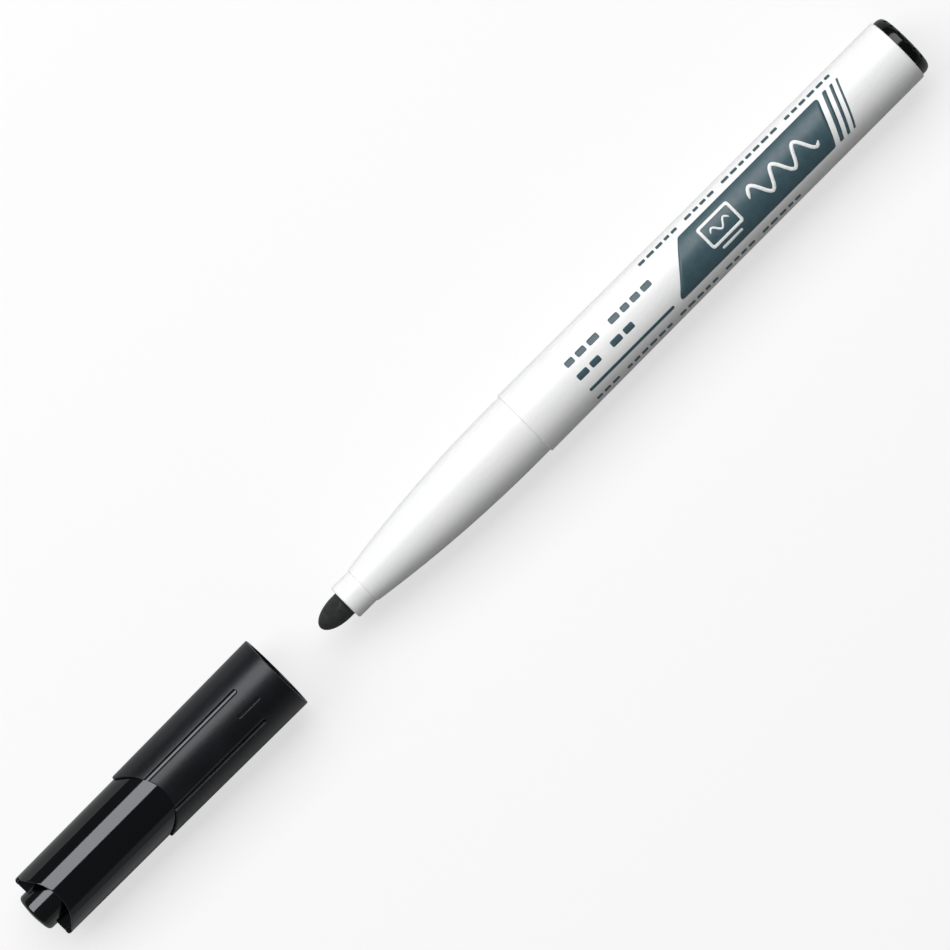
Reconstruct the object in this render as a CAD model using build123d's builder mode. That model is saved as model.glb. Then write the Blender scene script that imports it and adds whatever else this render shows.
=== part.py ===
from build123d import *
import os
from math import cos, radians, sin

# A slim dry-wipe marker lying on its side along X, its cap pulled straight off the nose.
# Lengths along the marker are measured from the nib's tip towards the back end, and lengths
# along the cap from its mouth towards its closed end. All sizes are in millimetres.

# ---- layout ----
MARKER_LENGTH = 130.5
MOUTH_GAP = 9.7  # from the cap's mouth to the nib's tip
CAP_TURN = 7.5  # degrees that the cap is turned about the axis, towards -Y

# ---- nib ----
NIB_RADIUS = 2.2
NIB_CROWN = 4.6  # length of the bullet-shaped end
NIB_LENGTH = 39.0
NIB_TAIL_CHAMFER = 0.8

# ---- nib holder ----
HOLDER_FRONT = 5.55
HOLDER_STEP = 9.45  # the barrel's nose starts here
HOLDER_BACK = 17.5
SPIGOT_RADIUS = 3.2
SHANK_RADIUS = 2.8
HOLDER_EDGE = 0.3
AIR_GROOVES = 4
AIR_GROOVE_WIDTH = 0.5
AIR_GROOVE_DEPTH = 0.2

# ---- nib stop ----
STOP_RADIUS = 3.3
STOP_LENGTH = 2.2
STOP_SLITS = 6
STOP_SLIT_WIDTH = 0.4
STOP_RIM = 0.45  # what is left outside the slits

# ---- barrel ----
NOSE_RADIUS = 3.36
TAPER_MIDDLE = 25.2
TAPER_MIDDLE_RADIUS = 5.13
TAPER_END = 44.6
SEAT_RADIUS = 5.8
SHOULDER = 45.5
SHOULDER_RADIUS = 6.1
GRIP_START = 87.5  # the barrel is a true cylinder from here to its end
GRIP_RADIUS = 5.93
BARREL_END = 128.6
BARREL_EDGE = 0.3
SHOULDER_EDGE = 0.12
STOP_POCKET_END = 21.0
CHAMBER_FRONT = 32.0
CHAMBER_RADIUS = 4.95
CHAMBER_RIBS = 6
CHAMBER_RIB_WIDTH = 0.8

# ---- reservoir ----
RESERVOIR_FRONT = 32.4
RESERVOIR_BACK = 118.5
CORE_RADIUS = 4.45
FILM_THICKNESS = 0.2
CORE_EDGE = 0.4

# ---- end plug ----
PLUG_FRONT = 120.0
PLUG_HEAD_RADIUS = 5.6
PLUG_BORE_RADIUS = 4.1
PLUG_TOP = 0.9  # thickness of its closed end
PLUG_DISH_RADIUS = 3.9
PLUG_DISH_DEPTH = 0.35
PLUG_EDGE = 1.5
PLUG_NOTCHES = 18
PLUG_NOTCH_WIDTH = 0.55
PLUG_NOTCH_DEPTH = 0.6

# ---- cap core ----
CAP_RIM = 52.4
CORE_MOUTH = 0.7
CORE_MOUTH_RADIUS = 6.36
CORE_RIM_RADIUS = 6.11
RIM_EDGE = 0.5
LAND_START = 1.5
LAND_END = 4.0
LAND_RADIUS = 5.87  # guides the cap on the marker's seat
BORE_MOUTH_RADIUS = 5.98
BORE_DEEP = 34.0
BORE_DEEP_RADIUS = 5.45
BORE_END = 40.0
BORE_END_RADIUS = 5.3
SCALLOP_BOTTOM = 48.85
SCALLOP_SIDE = 52.5

# ---- cap sleeve ----
MOUTH_RADIUS = 6.89
SLEEVE_BACK_RADIUS = 6.63
SLEEVE_BACK = 30.1  # where the wavy border reaches furthest back, at its sides
SLEEVE_CREST = 25.45  # where it reaches least far back, at its top and bottom
LIP_RADIUS = 6.0
MOUTH_EDGE = 0.15
GROOVE_TURN = 30  # degrees from the top and the bottom to the long grooves on either side
GROOVE_WIDTH = 0.85  # long ones, cut right through, which run out over the border
GROOVE_DEPTH = 0.6
GROOVE_FRONT = 6.35
SLOT_WIDTH = 0.5  # short shallow ones at the top and the bottom
SLOT_DEPTH = 0.08
SLOT_FRONT = 4.5
SLOT_BACK = 9.1

# ---- inner cap ----
SEAL_FRONT = 36.4
SEAL_BACK = 40.6
SEAL_RADIUS = 3.26
SEAL_OUTER_RADIUS = 4.1
SEAL_OUTER_BACK = 41.5
SEAL_LEAD = 0.35
TUBE_RADIUS = 3.5
TUBE_START = 42.8
TUBE_BORE_START = 41.0
TUBE_BORE_RADIUS = 2.95
TUBE_BORE_END = 53.0
TUBE_END = 54.3
TUBE_CROWN = 0.4
TUBE_EDGE = 0.8

# ---- cap bridge ----
BRIDGE_FRONT = 42.9
BRIDGE_DISC = 1.2
WEB_END = 52.35
WEB_THICKNESS = 1.3
VENTS = 8
VENT_RADIUS = 0.55

FIT = 0.02  # radial room between pieces that are pressed together

# ---- derived places ----
AXIS_HEIGHT = MOUTH_RADIUS
NIB_TIP_X = (TUBE_END + MOUTH_GAP - MARKER_LENGTH) / 2
MOUTH_X = NIB_TIP_X - MOUTH_GAP
MARKER_AXIS = Axis((NIB_TIP_X, 0, AXIS_HEIGHT), (1, 0, 0))
CAP_AXIS = Axis((MOUTH_X, 0, AXIS_HEIGHT), (-1, 0, 0))
# Side view through the marker's axis: x from the nib's tip, y outwards.
MARKER_SIDE = Plane(origin=(NIB_TIP_X, 0, AXIS_HEIGHT), x_dir=(1, 0, 0), z_dir=(0, -1, 0))


def marker_section(length):
    """Plane across the marker at this length from the nib's tip, facing the back end."""
    return Plane(origin=(NIB_TIP_X + length, 0, AXIS_HEIGHT), x_dir=(0, 1, 0), z_dir=(1, 0, 0))


def cap_side(turn=0.0):
    """Side view through the cap's axis: x from the mouth, y outwards at this turn from the top."""
    angle = radians(CAP_TURN + turn)
    return Plane(
        origin=(MOUTH_X, 0, AXIS_HEIGHT), x_dir=(-1, 0, 0), z_dir=(0, cos(angle), sin(angle))
    )


def cap_top():
    """Plan view of the cap: x from the mouth, facing outwards at the top."""
    side = cap_side()
    return Plane(origin=side.origin, x_dir=side.x_dir, z_dir=side.y_dir)


def cap_section(depth):
    """Plane across the cap at this depth from the mouth, x towards its side, facing its end."""
    side = cap_side()
    origin = side.origin + side.x_dir * depth
    return Plane(origin=origin, x_dir=side.z_dir * -1, z_dir=side.x_dir)


def edge_at(piece, x):
    """The longest edge of a piece that lies across the axis at this place along X."""
    return piece.edges().filter_by_position(Axis.X, x - FIT, x + FIT).sort_by(SortBy.LENGTH)[-1]


# ---- nib: a fibre rod with a bullet end ----
with BuildPart() as nib:
    with BuildSketch(MARKER_SIDE):
        with BuildLine():
            crown = EllipticalCenterArc(
                (NIB_CROWN, 0), NIB_CROWN, NIB_RADIUS, start_angle=90, arc_size=90
            )
            Polyline(
                crown @ 0,
                (NIB_LENGTH - NIB_TAIL_CHAMFER, NIB_RADIUS),
                (NIB_LENGTH, NIB_RADIUS - NIB_TAIL_CHAMFER),
                (NIB_LENGTH, 0),
                crown @ 1,
            )
        make_face()
    revolve(axis=MARKER_AXIS)

# ---- nib holder: the spigot in front of the barrel, with a shank pressed into its nose ----
with BuildPart() as nib_holder:
    with BuildSketch(MARKER_SIDE):
        with BuildLine():
            Polyline(
                (HOLDER_FRONT, NIB_RADIUS + FIT),
                (HOLDER_FRONT, SPIGOT_RADIUS),
                (HOLDER_STEP, SPIGOT_RADIUS),
                (HOLDER_STEP, SHANK_RADIUS),
                (HOLDER_BACK, SHANK_RADIUS),
                (HOLDER_BACK, NIB_RADIUS + FIT),
                close=True,
            )
        make_face()
    revolve(axis=MARKER_AXIS)
    fillet(edge_at(nib_holder, NIB_TIP_X + HOLDER_FRONT), HOLDER_EDGE)
    with BuildSketch(marker_section(HOLDER_BACK)):
        with PolarLocations(SHANK_RADIUS, AIR_GROOVES):
            Rectangle(2 * AIR_GROOVE_DEPTH, AIR_GROOVE_WIDTH)
    extrude(amount=HOLDER_STEP - HOLDER_BACK, mode=Mode.SUBTRACT)

# ---- nib stop: a slit collar that bites the nib behind its holder ----
with BuildPart() as nib_stop:
    with BuildSketch(marker_section(HOLDER_BACK)):
        Circle(STOP_RADIUS)
        Circle(NIB_RADIUS + FIT, mode=Mode.SUBTRACT)
        with PolarLocations(NIB_RADIUS, STOP_SLITS):
            Rectangle(2 * (STOP_RADIUS - STOP_RIM - NIB_RADIUS), STOP_SLIT_WIDTH, mode=Mode.SUBTRACT)
    extrude(amount=STOP_LENGTH)

# ---- barrel: nose taper, shoulder for the cap, drafted front and straight grip ----
with BuildPart() as barrel:
    with BuildSketch(MARKER_SIDE):
        with BuildLine():
            taper = ThreePointArc(
                (HOLDER_STEP, NOSE_RADIUS),
                (TAPER_MIDDLE, TAPER_MIDDLE_RADIUS),
                (TAPER_END, SEAT_RADIUS),
            )
            outside = Polyline(
                taper @ 1,
                (SHOULDER, SEAT_RADIUS),
                (SHOULDER, SHOULDER_RADIUS),
                (GRIP_START, GRIP_RADIUS),
                (BARREL_END, GRIP_RADIUS),
            )
            Polyline(
                outside @ 1,
                (BARREL_END, CHAMBER_RADIUS),
                (CHAMBER_FRONT, CHAMBER_RADIUS),
                (STOP_POCKET_END, STOP_RADIUS + FIT),
                (HOLDER_BACK, STOP_RADIUS + FIT),
                (HOLDER_BACK, SHANK_RADIUS + FIT),
                (HOLDER_STEP, SHANK_RADIUS + FIT),
                taper @ 0,
            )
        make_face()
    revolve(axis=MARKER_AXIS)
    fillet(edge_at(barrel, NIB_TIP_X + BARREL_END), BARREL_EDGE)
    fillet(edge_at(barrel, NIB_TIP_X + SHOULDER), SHOULDER_EDGE)
    # Ribs that hold the reservoir off the wall and leave air channels.
    rib_height = CHAMBER_RADIUS - CORE_RADIUS - FILM_THICKNESS - 2 * FIT
    with BuildSketch(marker_section(RESERVOIR_FRONT)):
        with PolarLocations(CHAMBER_RADIUS, CHAMBER_RIBS):
            Rectangle(2 * rib_height, CHAMBER_RIB_WIDTH)
    extrude(amount=RESERVOIR_BACK - RESERVOIR_FRONT)

# ---- reservoir core: a fibre rod that the nib's tail runs into ----
with BuildPart() as reservoir_core:
    with BuildSketch(marker_section(RESERVOIR_FRONT)):
        Circle(CORE_RADIUS)
    extrude(amount=RESERVOIR_BACK - RESERVOIR_FRONT)
    chamfer(reservoir_core.edges().filter_by(GeomType.CIRCLE), CORE_EDGE)
    with BuildSketch(marker_section(RESERVOIR_FRONT)):
        Circle(NIB_RADIUS + FIT)
    extrude(amount=NIB_LENGTH - RESERVOIR_FRONT + FIT, mode=Mode.SUBTRACT)

# ---- reservoir film: the sleeve around the core ----
with BuildPart() as reservoir_film:
    with BuildSketch(marker_section(RESERVOIR_FRONT)):
        Circle(CORE_RADIUS + FIT + FILM_THICKNESS)
        Circle(CORE_RADIUS + FIT, mode=Mode.SUBTRACT)
    extrude(amount=RESERVOIR_BACK - RESERVOIR_FRONT)

# ---- end plug: a hollow plug with a notched head and a dished face ----
with BuildPart() as end_plug:
    with BuildSketch(MARKER_SIDE):
        with BuildLine():
            Polyline(
                (PLUG_FRONT, PLUG_BORE_RADIUS),
                (PLUG_FRONT, CHAMBER_RADIUS - FIT),
                (BARREL_END, CHAMBER_RADIUS - FIT),
                (BARREL_END, PLUG_HEAD_RADIUS),
                (MARKER_LENGTH, PLUG_HEAD_RADIUS),
                (MARKER_LENGTH, PLUG_DISH_RADIUS),
                (MARKER_LENGTH - PLUG_DISH_DEPTH, PLUG_DISH_RADIUS - PLUG_DISH_DEPTH),
                (MARKER_LENGTH - PLUG_DISH_DEPTH, 0),
                (MARKER_LENGTH - PLUG_TOP, 0),
                (MARKER_LENGTH - PLUG_TOP, PLUG_BORE_RADIUS),
                close=True,
            )
        make_face()
    revolve(axis=MARKER_AXIS)
    fillet(edge_at(end_plug, NIB_TIP_X + MARKER_LENGTH), PLUG_EDGE)
    with BuildSketch(marker_section(MARKER_LENGTH)):
        with PolarLocations(PLUG_HEAD_RADIUS, PLUG_NOTCHES):
            Rectangle(2 * (PLUG_HEAD_RADIUS - PLUG_DISH_RADIUS), PLUG_NOTCH_WIDTH)
    extrude(amount=-PLUG_NOTCH_DEPTH, mode=Mode.SUBTRACT)

# ---- cap core: a glossy tube, open at both ends, with two scallops in its far rim ----
with BuildPart() as cap_core:
    with BuildSketch(cap_side()):
        with BuildLine():
            Polyline(
                (CORE_MOUTH, CORE_MOUTH_RADIUS),
                (CAP_RIM, CORE_RIM_RADIUS),
                (CAP_RIM, BORE_END_RADIUS),
                (BORE_END, BORE_END_RADIUS),
                (BORE_DEEP, BORE_DEEP_RADIUS),
                (LAND_END + BORE_MOUTH_RADIUS - LAND_RADIUS, BORE_MOUTH_RADIUS),
                (LAND_END, LAND_RADIUS),
                (LAND_START, LAND_RADIUS),
                (LAND_START - BORE_MOUTH_RADIUS + LAND_RADIUS, BORE_MOUTH_RADIUS),
                (CORE_MOUTH, BORE_MOUTH_RADIUS),
                close=True,
            )
        make_face()
    revolve(axis=CAP_AXIS)
    fillet(edge_at(cap_core, MOUTH_X - CAP_RIM), RIM_EDGE)
    # The scallops leave a tab at each side of the rim, in line with the bridge's webs.
    for half in (1, -1):
        with BuildSketch(cap_top().offset(half * WEB_THICKNESS / 2)):
            with BuildLine():
                scallop = ThreePointArc(
                    (SCALLOP_SIDE, -CORE_RIM_RADIUS),
                    (SCALLOP_BOTTOM, 0),
                    (SCALLOP_SIDE, CORE_RIM_RADIUS),
                )
                Line(scallop @ 1, scallop @ 0)
            make_face()
        extrude(amount=half * MOUTH_RADIUS, mode=Mode.SUBTRACT)

# ---- cap sleeve: the satin grip over the mouth half, with a wavy border and long grooves ----
with BuildPart() as cap_sleeve:
    sleeve_slope = (MOUTH_RADIUS - SLEEVE_BACK_RADIUS) / SLEEVE_BACK
    core_slope = (CORE_MOUTH_RADIUS - CORE_RIM_RADIUS) / (CAP_RIM - CORE_MOUTH)
    with BuildSketch(cap_side()):
        with BuildLine():
            Polyline(
                (0, LIP_RADIUS),
                (0, MOUTH_RADIUS),
                (SLEEVE_BACK, SLEEVE_BACK_RADIUS),
                (SLEEVE_BACK, CORE_MOUTH_RADIUS + FIT - core_slope * (SLEEVE_BACK - CORE_MOUTH)),
                (CORE_MOUTH, CORE_MOUTH_RADIUS + FIT),
                (CORE_MOUTH, LIP_RADIUS),
                close=True,
            )
        make_face()
    revolve(axis=CAP_AXIS)
    fillet(edge_at(cap_sleeve, MOUTH_X), MOUTH_EDGE)
    with BuildSketch(cap_top()):
        with BuildLine():
            border = ThreePointArc(
                (SLEEVE_BACK, -SLEEVE_BACK_RADIUS),
                (SLEEVE_CREST, 0),
                (SLEEVE_BACK, SLEEVE_BACK_RADIUS),
            )
            Line(border @ 1, border @ 0)
        make_face()
    extrude(amount=2 * MOUTH_RADIUS, both=True, mode=Mode.SUBTRACT)
    # Round-ended cuts, square to the sleeve's slope.
    groove = (GROOVE_FRONT, SLEEVE_BACK + GROOVE_WIDTH, GROOVE_WIDTH, GROOVE_DEPTH)
    slot = (SLOT_FRONT, SLOT_BACK, SLOT_WIDTH, SLOT_DEPTH)
    for turn, (front, back, width, depth) in {
        0: slot,
        GROOVE_TURN: groove,
        180 - GROOVE_TURN: groove,
        180: slot,
        180 + GROOVE_TURN: groove,
        360 - GROOVE_TURN: groove,
    }.items():
        side = cap_side(turn)
        halfway = (front + back) / 2
        floor_radius = MOUTH_RADIUS - sleeve_slope * halfway - depth
        middle = side.origin + side.x_dir * halfway + side.y_dir * floor_radius
        along = side.x_dir - side.y_dir * sleeve_slope
        outward = side.y_dir + side.x_dir * sleeve_slope
        with BuildSketch(Plane(origin=middle, x_dir=along, z_dir=outward)):
            SlotOverall(back - front, width)
        extrude(amount=4 * depth, mode=Mode.SUBTRACT)

# ---- inner cap: a sealing tube for the spigot and nib, domed where it stands out of the cap ----
with BuildPart() as inner_cap:
    with BuildSketch(cap_side()):
        with BuildLine():
            inside = Polyline(
                (TUBE_BORE_END, 0),
                (TUBE_BORE_END, TUBE_BORE_RADIUS),
                (TUBE_BORE_START, TUBE_BORE_RADIUS),
                (SEAL_BACK, SEAL_RADIUS),
                (SEAL_FRONT + SEAL_LEAD, SEAL_RADIUS),
                (SEAL_FRONT, SEAL_RADIUS + SEAL_LEAD),
                (SEAL_FRONT, SEAL_OUTER_RADIUS),
                (SEAL_OUTER_BACK, SEAL_OUTER_RADIUS),
                (TUBE_START, TUBE_RADIUS),
                (TUBE_END - TUBE_CROWN, TUBE_RADIUS),
            )
            TangentArc((TUBE_END, 0), inside @ 1, tangent=(0, 1))
            Line((TUBE_END, 0), inside @ 0)
        make_face()
    revolve(axis=CAP_AXIS)
    fillet(edge_at(inner_cap, MOUTH_X - TUBE_END + TUBE_CROWN), TUBE_EDGE)

# ---- cap bridge: a vented disc with two webs that carries the inner cap in the core ----
with BuildPart() as cap_bridge:
    with BuildSketch(cap_section(BRIDGE_FRONT)):
        Circle(BORE_END_RADIUS - FIT)
        Circle(TUBE_RADIUS + FIT, mode=Mode.SUBTRACT)
        with PolarLocations((BORE_END_RADIUS + TUBE_RADIUS) / 2, VENTS, start_angle=180 / VENTS):
            Circle(VENT_RADIUS, mode=Mode.SUBTRACT)
    extrude(amount=BRIDGE_DISC)
    with BuildSketch(cap_section(BRIDGE_FRONT + BRIDGE_DISC)):
        Circle(BORE_END_RADIUS - FIT)
        Rectangle(2 * BORE_END_RADIUS, WEB_THICKNESS, mode=Mode.INTERSECT)
        Circle(TUBE_RADIUS + FIT, mode=Mode.SUBTRACT)
    extrude(amount=WEB_END - BRIDGE_FRONT - BRIDGE_DISC)

pieces = {
    "nib": nib,
    "nib_holder": nib_holder,
    "nib_stop": nib_stop,
    "barrel": barrel,
    "reservoir_core": reservoir_core,
    "reservoir_film": reservoir_film,
    "end_plug": end_plug,
    "cap_core": cap_core,
    "cap_sleeve": cap_sleeve,
    "inner_cap": inner_cap,
    "cap_bridge": cap_bridge,
}

os.makedirs("parts", exist_ok=True)
for name, piece in pieces.items():
    piece.part.label = name
    export_step(piece.part, f"parts/{name}.step")
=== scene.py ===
from math import asin, atan2, cos, hypot, pi, radians, sin, sqrt

import bmesh
import bpy
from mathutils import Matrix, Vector, noise


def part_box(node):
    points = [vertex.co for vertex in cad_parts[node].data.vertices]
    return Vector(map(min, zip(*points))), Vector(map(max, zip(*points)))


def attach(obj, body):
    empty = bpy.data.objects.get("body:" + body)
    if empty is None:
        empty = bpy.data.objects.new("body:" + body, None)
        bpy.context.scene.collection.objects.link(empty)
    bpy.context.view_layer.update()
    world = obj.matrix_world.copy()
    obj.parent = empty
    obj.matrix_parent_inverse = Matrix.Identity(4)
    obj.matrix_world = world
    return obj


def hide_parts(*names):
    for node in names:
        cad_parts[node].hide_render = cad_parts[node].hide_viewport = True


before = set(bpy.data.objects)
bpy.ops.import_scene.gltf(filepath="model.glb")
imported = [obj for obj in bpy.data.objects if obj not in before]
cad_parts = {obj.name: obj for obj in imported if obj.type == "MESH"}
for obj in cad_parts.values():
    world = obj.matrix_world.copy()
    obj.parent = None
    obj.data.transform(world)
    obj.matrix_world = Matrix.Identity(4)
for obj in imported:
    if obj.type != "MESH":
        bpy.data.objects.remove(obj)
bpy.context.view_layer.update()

# A slim dry-wipe marker on its side along X with its cap pulled off. Lengths in the functions
# below are in millimetres: along the marker from the nib's tip, along the cap from its mouth.
MM = 0.001
TIP_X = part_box("nib")[0].x
MOUTH_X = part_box("cap_sleeve")[1].x
AXIS_Z = (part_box("barrel")[0].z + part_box("barrel")[1].z) / 2
CAP_TURN = radians(7.5)  # the cap is turned this far about the axis, towards -Y

# The barrel, as (length, radius) where two numbers are given.
NOSE = (9.45, 3.36)
TAPER_MIDDLE = (25.2, 5.13)
TAPER_END = (44.6, 5.8)
SHOULDER = 45.5
SHOULDER_RADIUS = 6.1
GRIP_START = 87.5
GRIP_RADIUS = 5.93
BARREL_END = 128.6
HOLDER_BACK = 17.5
HOLDER_BORE = 2.22
NIB_SHOWS_TO = 6.1

MARKER_LENGTH = 130.5
PLUG_NOTCHES = 18
NOTCH_FLOOR = 129.9
NOTCH_RING = 5.2  # radius at which the notches are measured across
NOTCH_HALF_WIDTH = 0.31
NOTCH_FLANK = 0.08

# The cap's glossy tube.
CORE_MOUTH = 0.7
CORE_MOUTH_RADIUS = 6.36
CORE_RIM_RADIUS = 6.11
CORE_RIM_BORE = 5.3
CORE_DRAFT = 0.00484  # how fast the outside narrows towards the rim
CAP_RIM = 52.4
SCALLOP_BOTTOM = 48.85
SCALLOP_SIDE = 52.5
WEB_THICKNESS = 1.3

# The cap's satin sleeve, with cuts counted from its top and its bottom.
MOUTH_RADIUS = 6.89
SLEEVE_BACK_RADIUS = 6.63
SLEEVE_MIDDLE_RADIUS = 6.75
SLEEVE_BACK = 30.1
SLEEVE_CREST = 25.45
SLEEVE_PLAIN_TO = 24.6  # depth up to which the sleeve's rows of points are straight rings
GROOVE_TURN = radians(30)
GROOVE_WIDTH = 0.64
GROOVE_SHOULDER = 0.34
GROOVE_FRONT = 6.35
SLOT_WIDTH = 0.5
SLOT_SHOULDER = 0.06
SLOT_DEPTH = 0.08
SLOT_FRONT = 4.5
SLOT_BACK = 9.1
SHOULDER_SLOPE = 0.4
WALL_RUN = 0.03  # a steep wall leans this far
SUNK_FILM = (0.06, 0.09)  # how far under the tube's surface a groove's floor and its underside lie

# The print.
PRINT_LOW, PRINT_HIGH = -4.3, 3.9
INK_PROUD = 0.012


# ---- shapes ----
def rounded(corners, steps=5, support=0.04):
    """Outline through (x, r, rounding) corners of an open line, each corner eased by its rounding."""
    points = []
    for i, (x, r, ease) in enumerate(corners):
        here = Vector((x, r))
        if not ease:
            points.append(here)
            continue
        before = (Vector(corners[i - 1][:2]) - here).normalized()
        after = (Vector(corners[(i + 1) % len(corners)][:2]) - here).normalized()
        reach = ease * (1 + before.dot(after)) ** 0.5 / (1 - before.dot(after)) ** 0.5
        points.append(here + before * (reach + support))
        for step in range(steps + 1):
            t = step / steps
            points.append(here + before * reach * (1 - t) ** 2 + after * reach * t**2)
        points.append(here + after * (reach + support))
    return points


def arc(a, b, c, count):
    """Points strictly between a and c on the circle through a, b and c."""
    (ax, ay), (bx, by), (cx, cy) = a, b, c
    d = 2 * (ax * (by - cy) + bx * (cy - ay) + cx * (ay - by))
    sa, sb, sc = ax * ax + ay * ay, bx * bx + by * by, cx * cx + cy * cy
    ox = (sa * (by - cy) + sb * (cy - ay) + sc * (ay - by)) / d
    oy = (sa * (cx - bx) + sb * (ax - cx) + sc * (bx - ax)) / d
    first, last = atan2(ay - oy, ax - ox), atan2(cy - oy, cx - ox)
    radius = hypot(ax - ox, ay - oy)
    turns = [first + (last - first) * i / (count + 1) for i in range(1, count + 1)]
    return [Vector((ox + radius * cos(t), oy + radius * sin(t))) for t in turns]


def even(count):
    """Angles evenly spaced all the way round."""
    return [2 * pi * i / count for i in range(count)]


def fanned(pitch, near, between):
    """Angles near every multiple of the pitch, on both sides of it, and between."""
    places = [side * t for side in (-1, 1) for t in near + between]
    angles = [(pitch * k + t) % (2 * pi) for k in range(round(2 * pi / pitch)) for t in places]
    return sorted(set(round(a, 6) for a in angles))


def finished(name, bm, body, material):
    """Turns a bmesh into a piece that rides on its body."""
    bmesh.ops.recalc_face_normals(bm, faces=bm.faces)
    mesh = bpy.data.meshes.new(name)
    bm.to_mesh(mesh)
    bm.free()
    mesh.shade_smooth()
    piece = bpy.data.objects.new(name, mesh)
    bpy.context.scene.collection.objects.link(piece)
    mesh.materials.append(material)
    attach(piece, body)
    return piece


def swept(section, angles, place):
    """Closed wall round the axis. section(angle) lists the same number of (x, r) points each time."""
    bm = bmesh.new()
    rings = [[bm.verts.new(place(x, r, angle)) for x, r in section(angle)] for angle in angles]
    count = len(rings[0])
    for ring, following in zip(rings, rings[1:] + rings[:1]):
        for i in range(count):
            j = (i + 1) % count
            bm.faces.new((ring[i], ring[j], following[j], following[i]))
    bmesh.ops.remove_doubles(bm, verts=bm.verts, dist=1e-7)
    return bm


def on_marker(x, r, angle):
    """Marker length and radius at an angle from the top, towards +Y, as a place in metres."""
    return (TIP_X + x * MM, r * MM * sin(angle), AXIS_Z + r * MM * cos(angle))


def on_cap(x, r, angle):
    """Cap depth and radius at an angle from the cap's own top, as a place in metres."""
    turned = angle - CAP_TURN
    return (MOUTH_X - x * MM, r * MM * sin(turned), AXIS_Z + r * MM * cos(turned))


def barrel_radius(x):
    """Outside radius of the barrel behind its shoulder."""
    drop = (SHOULDER_RADIUS - GRIP_RADIUS) / (GRIP_START - SHOULDER)
    return max(GRIP_RADIUS, SHOULDER_RADIUS - drop * (x - SHOULDER))


def bowed(y, middle, side, side_y):
    """Depth of a bowed edge at y across the cap, from its middle to its sides."""
    rise = side - middle
    radius = (side_y**2 + rise**2) / (2 * rise)
    return middle + radius - sqrt(max(0.0, radius**2 - y**2))


# ---- the marker ----
def barrel_section(_angle):
    """Nose, long curved taper, shoulder, grip and the stepped bore."""
    nose = rounded([(BARREL_END, 2.82, 0), (NOSE[0], 2.82, 0.08), (*NOSE, 0.12), (*TAPER_MIDDLE, 0)])
    back = rounded([
        (*TAPER_END, 0), (SHOULDER, TAPER_END[1], 0.05), (SHOULDER, SHOULDER_RADIUS, 0.12),
        (GRIP_START, GRIP_RADIUS, 6.0), (BARREL_END, GRIP_RADIUS, 0.3), (BARREL_END, 4.95, 0.1),
        (32.0, 4.95, 0), (21.0, 3.32, 0), (HOLDER_BACK, 3.32, 0), (HOLDER_BACK, 2.82, 0),
    ])
    return nose[1:-1] + arc(NOSE, TAPER_MIDDLE, TAPER_END, 40)[1:] + back


def make_barrel(material):
    bm = swept(barrel_section, even(224), on_marker)
    piece = finished("barrel_tube", bm, "marker", material)
    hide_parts("barrel")


def make_holder(material):
    """Spigot that stands out of the nose, and its thinner stem inside the barrel."""
    outline = rounded([
        (5.55, HOLDER_BORE, 0.1), (5.55, 3.2, 0.3), (NOSE[0], 3.2, 0.05), (NOSE[0], 2.8, 0),
        (HOLDER_BACK, 2.8, 0), (HOLDER_BACK, HOLDER_BORE, 0),
    ])
    bm = swept(lambda _angle: outline, even(160), on_marker)
    piece = finished("nib_holder_collar", bm, "marker", material)
    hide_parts("nib_holder")


def make_nib(material):
    """Bullet nib of pressed fibre: long shallow furrows and a slightly uneven crown."""
    crown, radius, length = 4.6, 2.2, 39.0
    outline = [(crown * (1 - cos(t)), radius * sin(t)) for t in (pi / 2 * i / 40 for i in range(41))]
    outline += [(x, radius) for x in (4.9, 5.2, 5.5, 6.0, 20.0, length - 0.8)]
    outline += [(length, radius - 0.8), (length, 0.0)]

    def section(angle):
        points = []
        for x, r in outline:
            fade = min(1.0, r) * (x < NIB_SHOWS_TO)
            spot = Vector((x * 0.55, 14 * sin(angle), 14 * cos(angle)))
            furrow = noise.noise(spot) * 0.035 + noise.noise(spot * 3.1) * 0.015
            points.append((x, r - fade * abs(furrow)))
        return points

    bm = swept(section, even(288), on_marker)
    piece = finished("nib_bullet", bm, "marker", material)
    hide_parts("nib")


def make_plug(material):
    """End plug with a broad round edge, radial notches and a dished face."""
    pitch, rim = 2 * pi / PLUG_NOTCHES, 3.93
    near = [d / NOTCH_RING for d in (0.0, 0.16, 0.22, 0.25, 0.28, 0.31, 0.37, 0.5, 0.7)]
    outline = rounded([
        (120.0, 4.1, 0), (120.0, 4.93, 0), (BARREL_END, 4.93, 0), (BARREL_END, 5.6, 0.05),
        (MARKER_LENGTH, 5.6, 1.45), (MARKER_LENGTH, 3.9, 0.04), (MARKER_LENGTH - 0.35, 3.55, 0.25),
    ], steps=12)
    outline += [Vector(p) for p in ((130.14, 2.5), (130.12, 0), (129.6, 0), (129.6, 4.1))]

    def section(angle):
        off = abs((angle + pitch / 2) % pitch - pitch / 2) * NOTCH_RING
        sunk = min(1.0, max(0.0, (NOTCH_HALF_WIDTH - off) / NOTCH_FLANK))
        return [(x - sunk * max(0.0, x - NOTCH_FLOOR) * (r > rim), r) for x, r in outline]

    bm = swept(section, fanned(pitch, near, [0.13, 0.155]), on_marker)
    piece = finished("end_plug_head", bm, "marker", material)
    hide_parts("end_plug")


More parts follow.
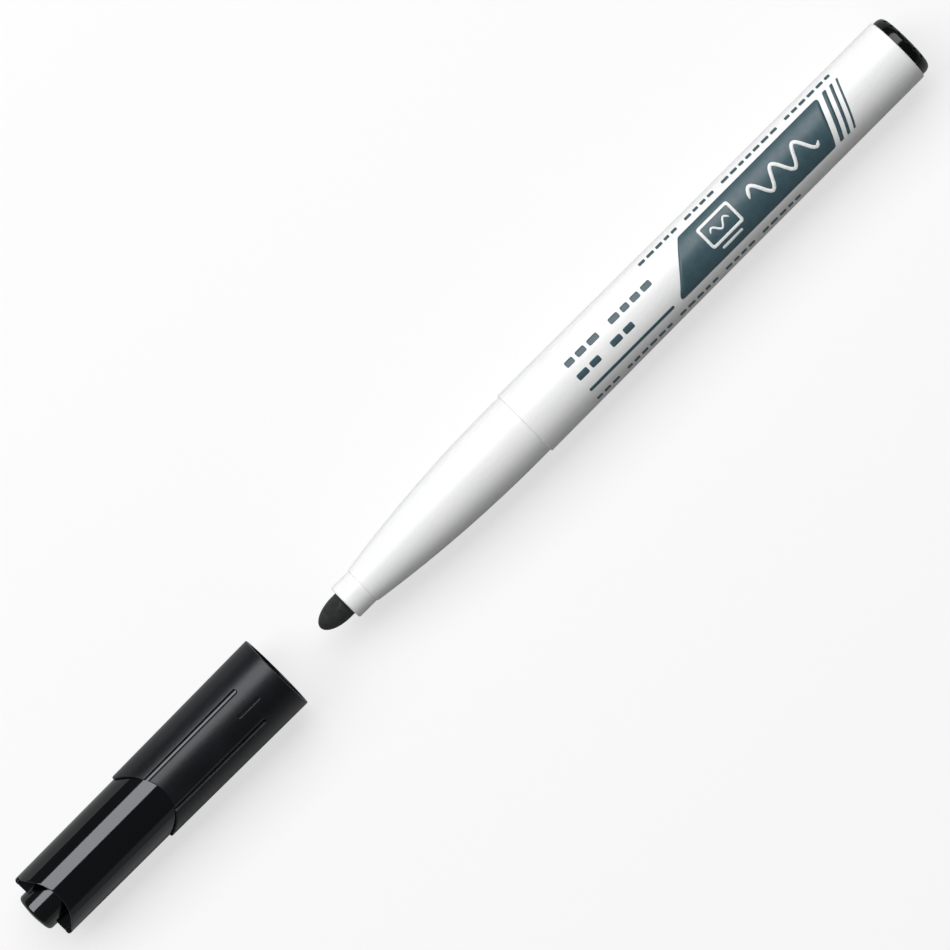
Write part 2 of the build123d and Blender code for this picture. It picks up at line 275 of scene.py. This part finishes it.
# ---- the cap ----
def make_core(material):
    """Glossy tube with a scallop across the top and the bottom of its far rim, and side tabs."""

    def rim(r, angle):
        if abs(r * cos(angle)) < WEB_THICKNESS / 2:
            return CAP_RIM
        return min(CAP_RIM, bowed(r * sin(angle), SCALLOP_BOTTOM, SCALLOP_SIDE, CORE_RIM_RADIUS))

    def section(angle):
        outer, inner = rim(CORE_RIM_RADIUS, angle), rim(CORE_RIM_BORE, angle)
        ease = 0.22 + 0.26 * abs(sin(angle)) ** 12
        return rounded([
            (CORE_MOUTH, 5.98, 0.05), (CORE_MOUTH, CORE_MOUTH_RADIUS, 0.05), (24.0, 6.247, 0),
            (outer, CORE_RIM_RADIUS, ease), (inner, CORE_RIM_BORE, 0.12), (40.0, CORE_RIM_BORE, 0),
            (34.0, 5.45, 0), (4.11, 5.98, 0), (4.0, 5.87, 0), (1.5, 5.87, 0), (1.39, 5.98, 0),
        ], steps=6)

    web = asin(WEB_THICKNESS / 2 / CORE_RIM_BORE)
    tabs = [pi / 2 + side * (web + t) for side in (-1, 1) for t in (-0.012, -0.001, 0.001, 0.012)]
    angles = sorted(even(256) + tabs + [t + pi for t in tabs])
    bm = swept(section, angles, on_cap)
    piece = finished("cap_core_tube", bm, "cap", material)
    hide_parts("cap_core")


def make_sleeve(material):
    """Satin grip with a bowed border, long grooves that show the core, and short shallow slots."""
    slope = (MOUTH_RADIUS - SLEEVE_BACK_RADIUS) / SLEEVE_BACK
    offs = [0.0, 0.1, 0.19, 0.22, 0.235, 0.25, 0.26, 0.275, 0.29, 0.305, 0.32, 0.33, 0.345, 0.37]
    offs += [0.41, 0.46, 0.51, 0.56, 0.61, 0.64, 0.66, 0.675, 0.7, 0.74]
    near = [d / SLEEVE_MIDDLE_RADIUS for d in offs]
    angles = fanned(pi / 6, near, [radians(d) for d in (6.5, 8, 9.5, 11, 12.5, 14, 15)])
    fine = [WALL_RUN * i for i in range(21)]
    rows = [0.5, 1.2, 2.2, 3.2, 4.0, 4.3] + [4.4 + f for f in fine] + [5.3, 5.8]
    rows += [6.05 + f for f in fine] + [6.69, 6.78, 7.2, 8.0, 8.4] + [8.67 + f for f in fine] + [9.6]
    rows += [11.0, 13.0, 15.0, 17.0, 19.0, 21.0, 23.0, SLEEVE_PLAIN_TO]

    def away(angle, turn):
        """Distance round the sleeve past the nearest cut at this turn from the top or the bottom."""
        across = (angle + pi / 2) % pi - pi / 2
        return (abs(across) - turn) * SLEEVE_MIDDLE_RADIUS

    def cut(x, off, front, back, width, depth, shoulder):
        """Depth of a round-ended cut with steep walls and a sloped shoulder on its near side."""
        over = max(front + width / 2 - x, x - back + width / 2, 0.0)
        far = hypot(off, over)
        wide = SLOT_SHOULDER + (shoulder - SLOT_SHOULDER) * max(0.0, -off) / max(far, 0.001)
        dip = SHOULDER_SLOPE * wide
        if far < width / 2:
            return dip + (depth - dip) * min(1.0, (width / 2 - far) / WALL_RUN)
        return dip * max(0.0, 1 - (far - width / 2) / wide)

    def bed(x):
        """Radius of the sleeve's bore, just clear of the tube."""
        return CORE_MOUTH_RADIUS + 0.02 - (x - CORE_MOUTH) * CORE_DRAFT

    def surface(x, angle):
        """Radius of the outside; the long grooves reach down past the tube's own surface."""
        top = MOUTH_RADIUS - slope * x
        through = top - bed(x) + SUNK_FILM[0]
        off, open_end = away(angle, GROOVE_TURN), 2 * SLEEVE_BACK
        groove = cut(x, off, GROOVE_FRONT, open_end, GROOVE_WIDTH, through, GROOVE_SHOULDER)
        off = away(angle, 0)
        slot = cut(x, off, SLOT_FRONT, SLOT_BACK, SLOT_WIDTH, SLOT_DEPTH, SLOT_SHOULDER)
        return top - groove - slot

    def section(angle):
        edge = bowed(SLEEVE_BACK_RADIUS * sin(angle), SLEEVE_CREST, SLEEVE_BACK, SLEEVE_BACK_RADIUS)
        low = surface(edge, angle)
        drop = SUNK_FILM[1] * (abs(away(angle, GROOVE_TURN)) < GROOVE_WIDTH / 2 + 0.01)
        ease = 0.18 if low > bed(edge) + 0.2 else 0.004
        mouth = rounded([(CORE_MOUTH, 6.0, 0), (0.0, 6.0, 0.12), (0.0, MOUTH_RADIUS, 0.16), (0.5, 6.88, 0)])
        back = rounded([
            (SLEEVE_PLAIN_TO, surface(SLEEVE_PLAIN_TO, angle), 0), (edge, low, ease),
            (edge + 0.02, bed(edge) - drop, 0), (GROOVE_FRONT - 0.05, bed(GROOVE_FRONT) - drop, 0),
            (GROOVE_FRONT - 0.1, bed(GROOVE_FRONT), 0), (CORE_MOUTH, bed(CORE_MOUTH), 0),
        ])
        outside = [Vector((x, surface(x, angle))) for x in rows]
        return mouth[:-1] + outside + back[1:]

    bm = swept(section, angles, on_cap)
    piece = finished("cap_sleeve_grip", bm, "cap", material)
    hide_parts("cap_sleeve")


def make_inner_cap(material):
    """Domed sealing tube with a flared mouth."""
    outline = rounded([
        (54.3, 0, 0), (54.28, 1.2, 0), (53.95, 3.5, 0.85), (42.8, 3.5, 0.1), (41.5, 4.1, 0),
        (36.4, 4.1, 0), (36.4, 3.61, 0), (36.75, 3.26, 0), (40.6, 3.26, 0), (41.0, 2.95, 0),
        (53.0, 2.95, 0), (53.0, 0, 0),
    ], steps=8)
    bm = swept(lambda _angle: outline, even(192), on_cap)
    piece = finished("inner_cap_tube", bm, "cap", material)
    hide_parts("inner_cap")


# ---- the print: thin ink shapes on the barrel, as (length, arc) outlines around the top ----
def ink(name, outlines, material, proud):
    """Thin closed shells over the outlines, wrapped round the barrel; arc runs from the top to +Y."""
    bm = bmesh.new()
    for outline in outlines:
        bm.faces.new([bm.verts.new((x, a, 0)) for x, a in outline])
    bmesh.ops.remove_doubles(bm, verts=bm.verts, dist=1e-5)
    bmesh.ops.triangulate(bm, faces=bm.faces)
    low, high = min(v.co.y for v in bm.verts), max(v.co.y for v in bm.verts)
    cuts = int((high - low) / 0.25)
    lines = [((0, low + (high - low) * i / (cuts + 1), 0), (0, 1, 0)) for i in range(1, cuts + 1)]
    for where, across in [((GRIP_START, 0, 0), (1, 0, 0)), *lines]:
        everything = bm.verts[:] + bm.edges[:] + bm.faces[:]
        bmesh.ops.bisect_plane(bm, geom=everything, plane_co=where, plane_no=across)
    for vert in bm.verts:
        x, a, _ = vert.co
        r = barrel_radius(x)
        vert.co = on_marker(x, r, a / r)
    piece = finished(name, bm, "marker", material)
    thickness = piece.modifiers.new("thickness", "SOLIDIFY")
    thickness.thickness = 2 * proud * MM
    thickness.offset = 0


def pill(x0, x1, middle, height):
    """Bar with round ends from x0 to x1, about a middle arc."""
    r = height / 2
    turns = [pi * i / 8 for i in range(9)]
    right = [(x1 - r + r * sin(t), middle - r * cos(t)) for t in turns]
    return right + [(x0 + r - r * sin(t), middle + r * cos(t)) for t in turns]


def dashes(start, middle, height, dash, gap, groups):
    """A row of short bars in groups, where the real marker has words."""
    row = []
    for count in groups:
        for i in range(count):
            length = dash * (1.0, 0.8, 1.15, 0.9, 1.05)[(i * 2 + count) % 5]
            low, high, end = middle - height / 2, middle + height / 2, start + length
            corners = [(start, low), (end, low), (end, high), (start, high)]
            row.append(eased(corners, height * 0.28, 4))
            start += length + gap
        start += dash
    return row


def eased(corners, ease, steps=6):
    """Polygon with each corner rounded by the same amount."""
    line = rounded([(x, a, ease) for x, a in corners], steps, support=0.0)
    return [(p.x, p.y) for i, p in enumerate(line) if (p - line[i - 1]).length > 1e-4]


def ring(outer, inner):
    """Strip between two outlines of the same number of points."""
    count = len(outer)
    return [
        (outer[i], outer[(i + 1) % count], inner[(i + 1) % count], inner[i]) for i in range(count)
    ]


def stroke(line, width):
    """Pen stroke of this width along a line, with rounded ends."""
    left, right, last = [], [], len(line) - 1
    for i, (x, a) in enumerate(line):
        (x0, a0), (x1, a1) = line[max(0, i - 1)], line[min(last, i + 1)]
        half = width / 2 * min(1.0, (0.05 + min(i, last - i) / 4)) ** 0.5
        reach = half / hypot(x1 - x0, a1 - a0)
        left.append((x - (a1 - a0) * reach, a + (x1 - x0) * reach))
        right.append((x + (a1 - a0) * reach, a - (x1 - x0) * reach))
    return [(left[i], left[i + 1], right[i + 1], right[i]) for i in range(last)]


def make_print(dark, light):
    """Generic print: a slanted panel with plain signs, and rows of dashes instead of words."""
    start, slant, low, high = 56.3, 3.4, PRINT_LOW, PRINT_HIGH
    panel = eased([(76.0, low), (110.6, low), (110.6 + slant, high), (83.0, high)], 0.7)
    stripes = [
        eased([(x, low), (x + wide, low), (x + wide + slant, high), (x + slant, high)], wide * 0.3)
        for x, wide in ((111.6, 0.8), (113.2, 0.6), (114.6, 0.4))
    ]
    ink("print_panel", [panel, *stripes, pill(start, 75.0, -3.9, 0.6)], dark, INK_PROUD)
    title = dashes(start, 1.8, 1.1, 1.9, 0.65, (3, 4)) + dashes(start, -1.0, 1.1, 1.9, 0.65, (2, 2))
    ink("print_title", title, dark, INK_PROUD)
    ink("print_upper_row", dashes(75.6, 5.6, 0.8, 1.3, 0.5, (5, 4, 7, 6)), dark, INK_PROUD)
    ink("print_lower_row", dashes(start, -6.6, 0.8, 1.3, 0.5, (3, 6, 5, 4, 5)), dark, INK_PROUD)
    board = ring(
        eased([(85.6, -1.9), (92.4, -1.9), (92.4, 2.5), (85.6, 2.5)], 0.6),
        eased([(86.1, -1.4), (91.9, -1.4), (91.9, 2.0), (86.1, 2.0)], 0.3),
    )
    scribble = [(87.0 + i * 0.1, 0.3 + 0.6 * sin(i * 0.24)) for i in range(41)]
    wave = [(95.2 + i * 0.1, -0.2 + 1.6 * sin(i * 0.13)) for i in range(141)]
    signs = [*board, *stroke(scribble, 0.34), pill(86.8, 91.2, -2.75, 0.5), *stroke(wave, 0.6)]
    ink("print_signs", signs, light, 0.02)  # stands proud of the panel under it


# ---- materials ----
def blank(name):
    """A new material with its node tree and shader."""
    material = bpy.data.materials.new(name)
    material.use_nodes = True
    return material, material.node_tree, material.node_tree.nodes["Principled BSDF"]


def node(tree, kind, **values):
    """A new node with these inputs set."""
    made = tree.nodes.new(kind)
    for key, value in values.items():
        made.inputs[key].default_value = value
    return made


def grain(tree, per_mm, detail=3.0, stretch=(1, 1, 1), roughness=0.55):
    """Noise value on the piece itself, with this many cells per millimetre."""
    place = tree.nodes.new("ShaderNodeTexCoord")
    spread = node(tree, "ShaderNodeMapping", Scale=[per_mm / MM * s for s in stretch])
    cells = node(tree, "ShaderNodeTexNoise", Scale=1.0, Detail=detail, Roughness=roughness)
    tree.links.new(place.outputs["Object"], spread.inputs["Vector"])
    tree.links.new(spread.outputs["Vector"], cells.inputs["Vector"])
    return cells.outputs["Fac"]


def coloured(tree, shader, value, dark, light, start=0.35, end=0.65):
    """Base colour from dark to light as the value rises."""
    ramp = tree.nodes.new("ShaderNodeValToRGB")
    for stop, place, colour in zip(ramp.color_ramp.elements, (start, end), (dark, light)):
        stop.position, stop.color = place, (*colour, 1)
    tree.links.new(value, ramp.inputs["Fac"])
    tree.links.new(ramp.outputs["Color"], shader.inputs["Base Color"])


def roughened(tree, shader, value, low, high, start=0.35, end=0.65):
    """Roughness from low to high as the value rises."""
    spread = node(tree, "ShaderNodeMapRange", **{"From Min": start, "From Max": end})
    spread.inputs["To Min"].default_value, spread.inputs["To Max"].default_value = low, high
    tree.links.new(value, spread.inputs["Value"])
    tree.links.new(spread.outputs["Result"], shader.inputs["Roughness"])


def bumped(tree, shader, value, height, below=None):
    """Relief of this many millimetres from a value, laid over another relief if there is one."""
    relief = node(tree, "ShaderNodeBump", Strength=1.0, Distance=height * MM)
    tree.links.new(value, relief.inputs["Height"])
    if below:
        tree.links.new(below, relief.inputs["Normal"])
    tree.links.new(relief.outputs["Normal"], shader.inputs["Normal"])
    return relief.outputs["Normal"]


def barrel_white():
    """Glossy white polypropylene: faint moulding ripple, fine handling scuffs in the gloss."""
    material, tree, shader = blank("barrel_white")
    coloured(tree, shader, grain(tree, 0.06, 4.0), (0.855, 0.86, 0.86), (0.875, 0.88, 0.875))
    scuffs = grain(tree, 0.9, 6.0, (0.35, 1.6, 1.6), 0.7)
    roughened(tree, shader, scuffs, 0.26, 0.31, 0.4, 0.75)
    ripple = bumped(tree, shader, grain(tree, 0.12, 1.0, (0.4, 1, 1)), 0.0015)
    bumped(tree, shader, grain(tree, 7.0, 2.0), 0.0006, ripple)
    shader.inputs["Specular IOR Level"].default_value = 0.32
    return material


def holder_white():
    """Satin white moulding of the nib holder, a touch greyer than the barrel."""
    material, tree, shader = blank("holder_white")
    coloured(tree, shader, grain(tree, 0.3, 4.0), (0.845, 0.85, 0.85), (0.875, 0.88, 0.875))
    roughened(tree, shader, grain(tree, 2.0, 4.0), 0.26, 0.36)
    bumped(tree, shader, grain(tree, 9.0, 2.0), 0.0008)
    return material


def nib_felt():
    """Ink-soaked pressed fibre: fine strands along the nib, matt, a little uneven in tone."""
    material, tree, shader = blank("nib_felt")
    strands = grain(tree, 5.0, 6.0, (0.16, 1, 1), 0.7)
    coloured(tree, shader, strands, (0.004, 0.006, 0.0055), (0.017, 0.022, 0.0205), 0.3, 0.7)
    roughened(tree, shader, grain(tree, 1.2, 3.0), 0.7, 0.95)
    bumped(tree, shader, strands, 0.05)
    shader.inputs["Sheen Weight"].default_value = 0.12
    shader.inputs["Sheen Roughness"].default_value = 0.5
    return material


def stop_plastic():
    """Natural translucent-looking nylon of the hidden collar."""
    material, tree, shader = blank("stop_plastic")
    coloured(tree, shader, grain(tree, 0.8, 4.0), (0.62, 0.60, 0.54), (0.72, 0.70, 0.64))
    roughened(tree, shader, grain(tree, 3.0, 3.0), 0.35, 0.5)
    bumped(tree, shader, grain(tree, 8.0, 2.0), 0.001)
    return material


def reservoir_fibre():
    """Inked polyester strands running along the reservoir."""
    material, tree, shader = blank("reservoir_fibre")
    strands = grain(tree, 6.0, 6.0, (0.03, 1, 1), 0.7)
    coloured(tree, shader, strands, (0.012, 0.014, 0.016), (0.045, 0.05, 0.055), 0.3, 0.7)
    roughened(tree, shader, strands, 0.7, 0.95)
    bumped(tree, shader, strands, 0.04)
    return material


def reservoir_film():
    """Thin glossy wrap with shallow creases."""
    material, tree, shader = blank("reservoir_film")
    creases = grain(tree, 0.5, 5.0, (0.3, 1, 1), 0.6)
    coloured(tree, shader, creases, (0.55, 0.56, 0.57), (0.68, 0.69, 0.70))
    roughened(tree, shader, creases, 0.12, 0.28)
    bumped(tree, shader, creases, 0.05)
    return material


def black_plastic(name, tone, low, high, texture_per_mm, texture_height, reflect=0.5):
    """Black moulded plastic: tone is its darkest colour, low and high its range of roughness."""
    material, tree, shader = blank(name)
    light = [c * 1.5 + 0.0006 for c in tone]
    coloured(tree, shader, grain(tree, 0.15, 5.0), tone, light)
    roughened(tree, shader, grain(tree, 1.1, 6.0, (0.4, 1.5, 1.5), 0.7), low, high, 0.4, 0.75)
    ripple = bumped(tree, shader, grain(tree, 0.1, 1.0, (0.4, 1, 1)), 0.003)
    bumped(tree, shader, grain(tree, texture_per_mm, 3.0), texture_height, ripple)
    shader.inputs["Specular IOR Level"].default_value = reflect
    shader.inputs["Specular Tint"].default_value = (0.93, 0.97, 1.0, 1)
    return material


def screen_ink(name, dark, light):
    """Semi-matt screen-print ink with a slightly uneven film."""
    material, tree, shader = blank(name)
    coloured(tree, shader, grain(tree, 0.8, 5.0), dark, light)
    roughened(tree, shader, grain(tree, 2.5, 4.0), 0.32, 0.46)
    bumped(tree, shader, grain(tree, 9.0, 3.0), 0.001)
    return material


def paint_node(name, material):
    """A CAD piece that is shown as it is gets its material."""
    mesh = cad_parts[name].data
    mesh.materials.clear()
    mesh.materials.append(material)


# ---- the room ----
def make_floor():
    """Pale sweep: white to the camera, and a dimmer bounce so that the marker's flank keeps its shade."""
    bm = bmesh.new()
    bmesh.ops.create_grid(bm, x_segments=8, y_segments=8, size=4.0)
    mesh = bpy.data.meshes.new("floor")
    bm.to_mesh(mesh)
    bm.free()
    floor = bpy.data.objects.new("floor", mesh)
    bpy.context.scene.collection.objects.link(floor)
    floor.location.z = -0.0001
    material, tree, shader = blank("floor_paper")
    seen = tree.nodes.new("ShaderNodeLightPath")
    tone = tree.nodes.new("ShaderNodeMix")
    tone.data_type = "RGBA"
    tone.inputs[6].default_value = (0.44, 0.44, 0.44, 1)
    tone.inputs[7].default_value = (0.3, 0.3, 0.3, 1)
    tree.links.new(seen.outputs["Is Camera Ray"], tone.inputs[0])
    glow = tree.nodes.new("ShaderNodeMath")
    glow.operation = "MULTIPLY"
    glow.inputs[1].default_value = 0.66
    tree.links.new(seen.outputs["Is Camera Ray"], glow.inputs[0])
    shader.inputs["Emission Color"].default_value = (1, 1, 1, 1)
    tree.links.new(glow.outputs[0], shader.inputs["Emission Strength"])
    tree.links.new(tone.outputs[2], shader.inputs["Base Color"])
    shader.inputs["Roughness"].default_value = 0.9
    shader.inputs["Specular IOR Level"].default_value = 0.0
    mesh.materials.append(material)


def make_lights():
    """One long soft box beside and above the marker, and a dim room with a paler wall at -Y."""
    tilt, distance = radians(32.5), 0.9
    lamp = bpy.data.lights.new("soft_box", "AREA")
    lamp.shape, lamp.size, lamp.size_y = "RECTANGLE", 1.8, 0.645
    lamp.energy = 3.9 * pi * lamp.size * lamp.size_y
    box = bpy.data.objects.new("soft_box", lamp)
    bpy.context.scene.collection.objects.link(box)
    box.location = (0, distance * sin(tilt), AXIS_Z + distance * cos(tilt))
    box.rotation_euler = (-tilt, 0, 0)
    box.visible_camera = False

    world = bpy.data.worlds.new("room")
    bpy.context.scene.world = world
    world.use_nodes = True
    tree = world.node_tree
    room = tree.nodes["Background"]
    room.inputs["Strength"].default_value = 1.0
    way = tree.nodes.new("ShaderNodeTexCoord")
    lean = tree.nodes.new("ShaderNodeVectorMath")
    lean.operation = "DOT_PRODUCT"
    lean.inputs[1].default_value = (0, 0.3, 1)
    ramp = tree.nodes.new("ShaderNodeValToRGB")
    for stop, place, tone in zip(ramp.color_ramp.elements, (0.0, 0.1), (0.25, 0.085)):
        stop.position, stop.color = place, (tone, tone, tone, 1)
    seen = tree.nodes.new("ShaderNodeLightPath")
    tone = tree.nodes.new("ShaderNodeMix")
    tone.data_type = "RGBA"
    tone.inputs[7].default_value = (0.97, 0.97, 0.97, 1)
    tree.links.new(way.outputs["Generated"], lean.inputs[0])
    tree.links.new(lean.outputs["Value"], ramp.inputs["Fac"])
    tree.links.new(seen.outputs["Is Camera Ray"], tone.inputs[0])
    tree.links.new(ramp.outputs["Color"], tone.inputs[6])
    tree.links.new(tone.outputs[2], room.inputs["Color"])


def make_camera():
    """Long lens nearly straight above, rolled so that the marker runs up to the right."""
    data = bpy.data.cameras.new("camera")
    data.sensor_width, data.lens = 36, 254
    camera = bpy.data.objects.new("camera", data)
    bpy.context.scene.collection.objects.link(camera)
    camera.location = (0.00097, -0.00022, AXIS_Z + 1.055)
    camera.rotation_euler = (0, 0, -radians(45.055))
    data.clip_start, data.clip_end = 0.05, 20
    bpy.context.scene.camera = camera


make_camera()
make_barrel(barrel_white())
make_holder(holder_white())
make_nib(nib_felt())
make_plug(black_plastic("plug_black", (0.001, 0.0012, 0.0014), 0.11, 0.18, 6.0, 0.0008, 0.4))
make_core(black_plastic("cap_gloss", (0.0006, 0.0009, 0.0013), 0.05, 0.10, 5.0, 0.0002, 0.79))
make_sleeve(black_plastic("cap_satin", (0.004, 0.005, 0.0062), 0.31, 0.38, 9.0, 0.002, 0.45))
make_inner_cap(black_plastic("inner_cap_black", (0.0006, 0.0009, 0.0012), 0.08, 0.14, 6.0, 0.0004, 0.84))
paint_node("cap_bridge", black_plastic("bridge_black", (0.003, 0.0034, 0.004), 0.2, 0.35, 6.0, 0.001))
paint_node("nib_stop", stop_plastic())
paint_node("reservoir_core", reservoir_fibre())
paint_node("reservoir_film", reservoir_film())
slate_ink = screen_ink("print_slate", (0.040, 0.082, 0.100), (0.050, 0.098, 0.118))
white_ink = screen_ink("print_white", (0.80, 0.81, 0.81), (0.87, 0.88, 0.88))
make_print(slate_ink, white_ink)
make_floor()
make_lights()
bpy.context.scene.view_settings.view_transform = "Standard"
